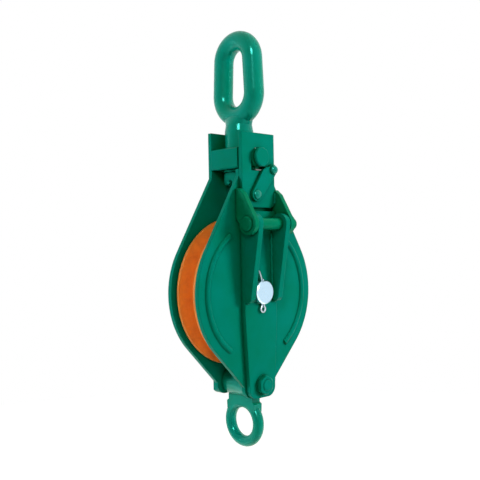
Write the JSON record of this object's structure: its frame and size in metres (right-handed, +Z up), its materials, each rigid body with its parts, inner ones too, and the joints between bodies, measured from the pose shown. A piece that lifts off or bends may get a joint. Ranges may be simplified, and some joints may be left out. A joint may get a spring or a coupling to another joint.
{
  "type": "single sheave pulley block",
  "caption": "Opening pulley block with one grooved sheave between side plates, a swivelling link above, a hinged hasp with keeper latch and a becket eye below.",
  "frame": {"origin": "load seat inside the crown of the top link, on the swivel axis", "axes": "+Z up along the swivel axis, +Y along the sheave axis towards the fixed back side plate, the opening hasp on the -Y side"},
  "size_m": [0.166, 0.0949, 0.4457],
  "materials": {
    "green_enamel": "glossy teal green enamel",
    "orange_enamel": "orange enamel over cast steel",
    "bare_steel": "bare machined steel",
    "bearing_bronze": "plain bearing bronze"
  },
  "bodies": {
    "link": {"top_link": "green_enamel", "link_washer": "bearing_bronze", "link_nut": "green_enamel", "link_nut_pin": "bare_steel"},
    "frame": {"crosshead": "green_enamel", "crosshead_washer": "green_enamel", "crosshead_split_pin": "bare_steel", "side_plate_front": "green_enamel", "side_plate_back": "green_enamel", "strap_front": "green_enamel", "strap_back": "green_enamel", "hinge_rib_left": "green_enamel", "hinge_rib_right": "green_enamel", "axle": "bare_steel", "axle_split_pin": "bare_steel", "grease_nipple": "bare_steel", "thrust_washer_front": "bearing_bronze", "thrust_washer_back": "bearing_bronze", "hinge_pin": "green_enamel", "hinge_pin_washer": "green_enamel", "hinge_pin_split_pin": "bare_steel", "bottom_bolt": "green_enamel", "bottom_bolt_washer": "green_enamel", "bottom_bolt_nut": "green_enamel", "bottom_spacer": "bare_steel"},
    "sheave": {"sheave": "orange_enamel", "sheave_bush": "bearing_bronze"},
    "hasp": {"hasp_plate": "green_enamel", "hasp_arm_left": "green_enamel", "hasp_arm_right": "green_enamel", "latch_rivet": "bare_steel"},
    "latch": {"keeper_latch": "green_enamel", "latch_knob": "green_enamel"},
    "becket": {"becket_eye": "green_enamel"}
  },
  "joints": [
    {"name": "link_swivel", "type": "hinge", "parent": "link", "child": "frame", "pos_m": [0, 0, -0.1175], "axis": [0, 0, 1], "continuous": true},
    {"name": "sheave_spin", "type": "hinge", "parent": "frame", "child": "sheave", "pos_m": [0, 0, -0.2575], "axis": [0, 1, 0], "continuous": true},
    {"name": "hasp_hinge", "type": "hinge", "parent": "frame", "child": "hasp", "pos_m": [0, -0.0395, -0.1865], "axis": [1, 0, 0], "range_deg": [0, 100]},
    {"name": "latch_swing", "type": "hinge", "parent": "hasp", "child": "latch", "pos_m": [-0.0054, -0.0297, -0.1559], "axis": [0, -1, 0], "range_deg": [-18, 11]},
    {"name": "becket_swing", "type": "hinge", "parent": "frame", "child": "becket", "pos_m": [0, 0, -0.3545], "axis": [0, 1, 0], "range_deg": [-28, 28]}
  ]
}
